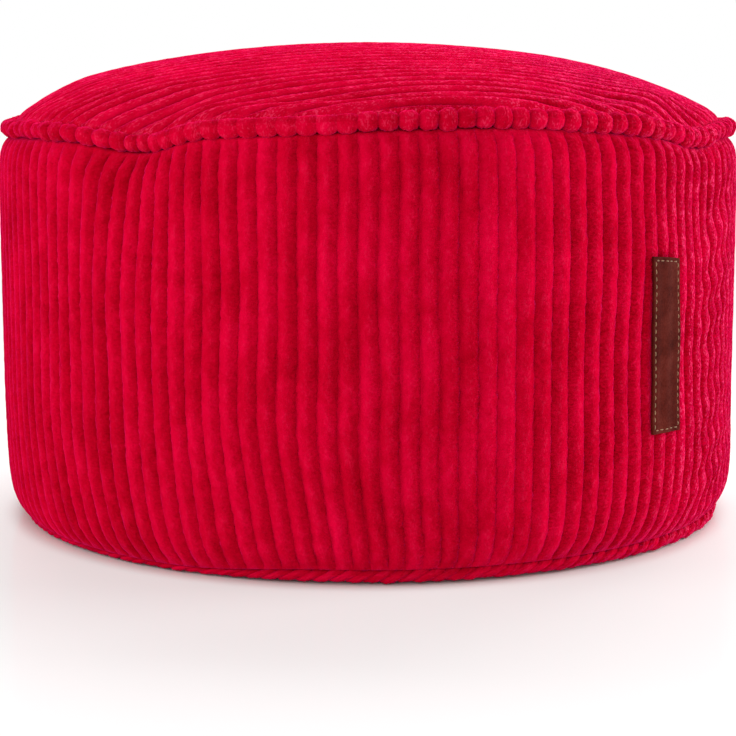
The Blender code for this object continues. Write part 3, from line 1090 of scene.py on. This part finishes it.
def make_patch():
    """Face of the patch with its pressed sewing channel, then thickness and rounded edges."""
    across = np.linspace(-0.5, 0.5, PATCH_COLUMNS)[None, :] * PATCH_WIDTH
    up = np.linspace(-0.5, 0.5, PATCH_ROWS)[:, None] * (PATCH_TOP - PATCH_BOTTOM)
    channel = np.exp(-(((from_edge(across, up) - SEWING_INSET) / CHANNEL_HALF) ** 2))
    points = patch_point(across, up, PATCH_THICKNESS - CHANNEL_DEPTH * channel)
    mesh = bpy.data.meshes.new("patch_leather")
    quads = grid_quads(PATCH_ROWS, PATCH_COLUMNS, False)
    mesh.from_pydata(points.reshape(-1, 3), [], quads.tolist())
    mesh.shade_smooth()
    piece = bpy.data.objects.new("patch_leather", mesh)
    scene.collection.objects.link(piece)
    thick = piece.modifiers.new("thickness", "SOLIDIFY")
    thick.thickness = PATCH_SOLID
    thick.offset = -1.0
    edge = piece.modifiers.new("edge", "BEVEL")
    edge.width = EDGE_ROUND
    edge.segments = 2
    edge.limit_method = "ANGLE"
    edge.angle_limit = math.radians(60)
    print(f"patch_leather: {PATCH_WIDTH / MM:.0f} x {(PATCH_TOP - PATCH_BOTTOM) / MM:.0f} mm")
    return piece


patch_leather = make_patch()

# %% [markdown]
# ## Its stitches
# A tan thread runs round the patch in even stitches. Each stitch is a short tube that dives into the
# leather at both ends. All of them are one grid: stitches, steps along a stitch, and points round
# the thread. Flat caps close both ends of every tube.

# %% Stitches
STITCH_PITCH = 4.4 * MM
STITCH_LENGTH = 3.3 * MM
STITCH_STEPS = 9
STITCH_TILT = 0.05
STITCH_ARCH = 0.5 * MM
STITCH_DIVE = 0.65 * MM
THREAD_RADIUS = 0.36 * MM
THREAD_SIDES = 8


def stitch_starts():
    """Middle of each stitch and the way it runs: across, up, and the same for its direction."""
    half_across = PATCH_WIDTH / 2.0 - SEWING_INSET
    half_up = (PATCH_TOP - PATCH_BOTTOM) / 2.0 - SEWING_INSET
    runs = [
        # start across, start up, along across, along up, length
        (-half_across, -half_up, 1.0, 0.0, 2.0 * half_across),
        (half_across, -half_up, 0.0, 1.0, 2.0 * half_up),
        (half_across, half_up, -1.0, 0.0, 2.0 * half_across),
        (-half_across, half_up, 0.0, -1.0, 2.0 * half_up),
    ]
    starts = []
    for across, up, dir_across, dir_up, length in runs:
        count = max(round(length / STITCH_PITCH), 1)
        place = (np.arange(count) + 0.5) * length / count
        ways = np.full((count, 2), (dir_across, dir_up))
        middles = np.stack([across + dir_across * place, up + dir_up * place], axis=1)
        starts.append(np.concatenate([middles, ways], axis=1))
    return np.concatenate(starts)


def stitch_points(starts):
    """Points of the tubes: a half cosine lifts each one out of the leather and fattens it."""
    tilt = np.random.default_rng(41).uniform(-STITCH_TILT, STITCH_TILT, len(starts))
    step = np.linspace(-0.5, 0.5, STITCH_STEPS)[None, :, None]
    angle = (math.tau * np.arange(THREAD_SIDES) / THREAD_SIDES)[None, None, :]
    middle_across, middle_up, dir_across, dir_up = starts.T[:, :, None, None]
    arc = np.cos(step * math.pi)
    taper = 0.35 + 0.65 * np.sqrt(np.maximum(arc, 0.0))
    side = THREAD_RADIUS * taper * np.cos(angle) + tilt[:, None, None] * step * STITCH_LENGTH
    across = middle_across + dir_across * step * STITCH_LENGTH + dir_up * side
    up = middle_up + dir_up * step * STITCH_LENGTH - dir_across * side
    lift = STITCH_ARCH * arc - STITCH_DIVE + THREAD_RADIUS * taper * np.sin(angle)
    return patch_point(across, up, PATCH_THICKNESS + lift)


def make_stitches():
    """One mesh of all the tubes, with a cap at each end of each one."""
    points = stitch_points(stitch_starts())
    count = len(points)
    first = STITCH_STEPS * THREAD_SIDES * np.arange(count)[:, None]
    quads = (grid_quads(STITCH_STEPS, THREAD_SIDES, True)[None] + first[:, :, None]).reshape(-1, 4)
    ring = np.arange(THREAD_SIDES)[None]
    near_caps = first + ring[:, ::-1]
    far_caps = first + ring + (STITCH_STEPS - 1) * THREAD_SIDES
    faces = quads.tolist() + near_caps.tolist() + far_caps.tolist()
    mesh = bpy.data.meshes.new("patch_stitches")
    mesh.from_pydata(points.reshape(-1, 3), [], faces)
    shape = bmesh.new()
    shape.from_mesh(mesh)
    bmesh.ops.recalc_face_normals(shape, faces=shape.faces)
    shape.to_mesh(mesh)
    shape.free()
    mesh.shade_smooth()
    piece = bpy.data.objects.new("patch_stitches", mesh)
    scene.collection.objects.link(piece)
    print(f"patch_stitches: {count} stitches")
    return piece


patch_stitches = make_stitches()

# %% [markdown]
# ## Leather and thread
# The leather is dyed brown and waxed: broad clouds of lighter and darker dye, a fine pebbled grain
# and a dull shine that changes with the grain. The thread is a plain tan polyester with a twist.

# %% Leather and thread materials
LEATHER_DARK = (0.040, 0.0040, 0.0025)
LEATHER_BROWN = (0.078, 0.0080, 0.0045)
LEATHER_WORN = (0.120, 0.0160, 0.0100)
LEATHER_STOPS = [(0.34, LEATHER_DARK), (0.5, LEATHER_BROWN), (0.68, LEATHER_WORN)]
CLOUD_SCALE = 70.0
GRAIN_SCALE = 900.0
PEBBLE_SCALE = 750.0
GRAIN_BUMP = 0.25 * MM
THREAD_TAN = (0.33, 0.16, 0.07)
THREAD_DARK = tuple(0.6 * part for part in THREAD_TAN)
TWIST_SCALE = 1200.0


def leather():
    """Clouded brown with a pebbled grain from a Voronoi pattern on object coordinates."""
    material, tree, shader = new_shader("brown_leather")
    place = object_place(tree)
    cloud = noise(tree, place, CLOUD_SCALE, 4.0, 0.6)
    fine = noise(tree, place, GRAIN_SCALE, 3.0, 0.6)
    pebble = tree.nodes.new("ShaderNodeTexVoronoi")
    pebble.inputs["Scale"].default_value = PEBBLE_SCALE
    tree.links.new(place, pebble.inputs["Vector"])
    tone = times_plus(tree, fine, 0.35, times(tree, cloud, 0.65))
    tree.links.new(ramp(tree, tone, LEATHER_STOPS), shader.inputs["Base Color"])
    shine = remap(tree, tone, 0.35, 0.65, 0.62, 0.42)
    tree.links.new(shine, shader.inputs["Roughness"])
    bumpy(tree, shader, times_plus(tree, fine, 0.5, pebble.outputs["Distance"]), 0.45, GRAIN_BUMP)
    settings(shader, {"Specular IOR Level": 0.02})
    return material


def thread():
    """Tan thread, mottled along its twist."""
    material, tree, shader = new_shader("tan_thread")
    twist = noise(tree, object_place(tree), TWIST_SCALE, 2.0, 0.5)
    tan = ramp(tree, twist, [(0.35, THREAD_DARK), (0.6, THREAD_TAN)])
    tree.links.new(tan, shader.inputs["Base Color"])
    settings(shader, {"Roughness": 0.7, "Sheen Weight": 0.2})
    return material


for piece, finish in ((patch_leather, leather()), (patch_stitches, thread())):
    piece.data.materials.append(finish)
    print(f"{finish.name}: {len(finish.node_tree.nodes)} nodes, on {piece.name}")

# %% [markdown]
# ## Floor
# The footstool stands on a pale, slightly glossy floor against white. Like the white sweep of a
# photo studio, the floor glows into plain white away from the footstool, so no horizon shows. The
# glow starts at the base seam and reaches its first strength 20 mm further out, so the line where
# the cloth meets the floor stays dark.

# %% Floor
FLOOR_HALF = 60.0
FLOOR_WHITE = (0.90, 0.90, 0.90, 1.0)
SWEEP_START = 0.35
SWEEP_END = 1.1
FLOOR_GLOW = 0.45
CONTACT_START = BASE_SEAM_RADIUS
CONTACT_END = CONTACT_START + 20.0 * MM


def floor_material():
    """Pale gloss mixed with a white glow, which grows with the distance from the middle."""
    material, tree, shader = new_shader("pale_floor")
    settings(shader, {"Base Color": FLOOR_WHITE, "Roughness": 0.14, "IOR": 1.18})
    far = tree.nodes.new("ShaderNodeVectorMath")
    far.operation = "LENGTH"
    tree.links.new(object_place(tree), far.inputs[0])
    distance = far.outputs["Value"]
    near = remap(tree, distance, CONTACT_START, CONTACT_END, 0.0, FLOOR_GLOW)
    away = remap(tree, distance, SWEEP_START, SWEEP_END, 0.0, 1.0 - FLOOR_GLOW)
    glow = tree.nodes.new("ShaderNodeEmission")
    blend = tree.nodes.new("ShaderNodeMixShader")
    tree.links.new(calculate(tree, "ADD", near, away), blend.inputs[0])
    tree.links.new(shader.outputs[0], blend.inputs[1])
    tree.links.new(glow.outputs[0], blend.inputs[2])
    tree.links.new(blend.outputs[0], tree.nodes["Material Output"].inputs["Surface"])
    return material


def make_floor():
    """A flat square under everything."""
    mesh = bpy.data.meshes.new("floor")
    half = FLOOR_HALF
    corners = [(-half, -half, 0.0), (half, -half, 0.0), (half, half, 0.0), (-half, half, 0.0)]
    mesh.from_pydata(corners, [], [(0, 1, 2, 3)])
    mesh.materials.append(floor_material())
    piece = bpy.data.objects.new("floor", mesh)
    scene.collection.objects.link(piece)
    print(f"floor: {2 * half:.0f} m square")
    return piece


floor = make_floor()

# %% [markdown]
# ## Light
# Two large soft boxes, to the left and to the right, light the flank of every cord. A weaker and
# wider one in front reaches into the grooves, and one overhead and behind lights the crown. The
# white room fills in the rest: the camera sees it as pure white, and it lights the scene less.

# %% Lights
SOFT_BOXES = [
    # name, place, width, height, power
    ("left_box", (-1.9, -0.55, 0.70), 0.9, 1.5, 18.0),
    ("right_box", (1.9, 0.05, 0.75), 0.9, 1.5, 28.0),
    ("front_box", (0.0, -2.6, 1.1), 2.4, 1.2, 25.0),
    ("top_box", (0.2, 1.2, 1.7), 2.2, 1.2, 57.0),
]
LIGHT_AIM = Vector((0.0, 0.0, 0.16))
ROOM_LIGHT = 0.42


def add_soft_box(name, place, width, height, power):
    """An area light that faces the middle of the footstool and doesn't show itself."""
    light = bpy.data.lights.new(name, "AREA")
    light.shape = "RECTANGLE"
    light.size = width
    light.size_y = height
    light.energy = power
    box = bpy.data.objects.new(name, light)
    box.location = place
    box.rotation_euler = (LIGHT_AIM - Vector(place)).to_track_quat("-Z", "Y").to_euler()
    scene.collection.objects.link(box)
    box.visible_camera = False
    print(f"{name}: {power:.0f} W")


def white_room():
    """A world that the camera sees as pure white, and that lights the scene less strongly."""
    world = bpy.data.worlds.new("white_room")
    world.use_nodes = True
    tree = world.node_tree
    tree.nodes.clear()
    seen = tree.nodes.new("ShaderNodeBackground")
    lit = tree.nodes.new("ShaderNodeBackground")
    seen.inputs["Color"].default_value = (1.0, 1.0, 1.0, 1.0)
    lit.inputs["Color"].default_value = (1.0, 1.0, 1.0, 1.0)
    lit.inputs["Strength"].default_value = ROOM_LIGHT
    path = tree.nodes.new("ShaderNodeLightPath")
    mix = tree.nodes.new("ShaderNodeMixShader")
    out = tree.nodes.new("ShaderNodeOutputWorld")
    tree.links.new(path.outputs["Is Camera Ray"], mix.inputs[0])
    tree.links.new(lit.outputs[0], mix.inputs[1])
    tree.links.new(seen.outputs[0], mix.inputs[2])
    tree.links.new(mix.outputs[0], out.inputs[0])
    scene.world = world


for soft_box in SOFT_BOXES:
    add_soft_box(*soft_box)
white_room()

# %% [markdown]
# ## Put the pieces on the frame
# Every piece rides on the one body of the model and stands for its plain solid. The three panels
# hold the filling.

# %% Riding and replacing
STANDS_FOR = [
    # piece, node, finish
    (side_cloth, "side_band", "corduroy"),
    (top_cloth, "top_panel", "corduroy"),
    (base_cloth, "base_panel", "corduroy"),
    (top_ridge, "top_seam", "corduroy"),
    (base_ridge, "base_seam", "corduroy"),
    (patch_leather, "leather_patch", "leather"),
]
for piece, node, finish in STANDS_FOR:
    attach(piece, "root")
    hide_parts(node)
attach(patch_stitches, "root")
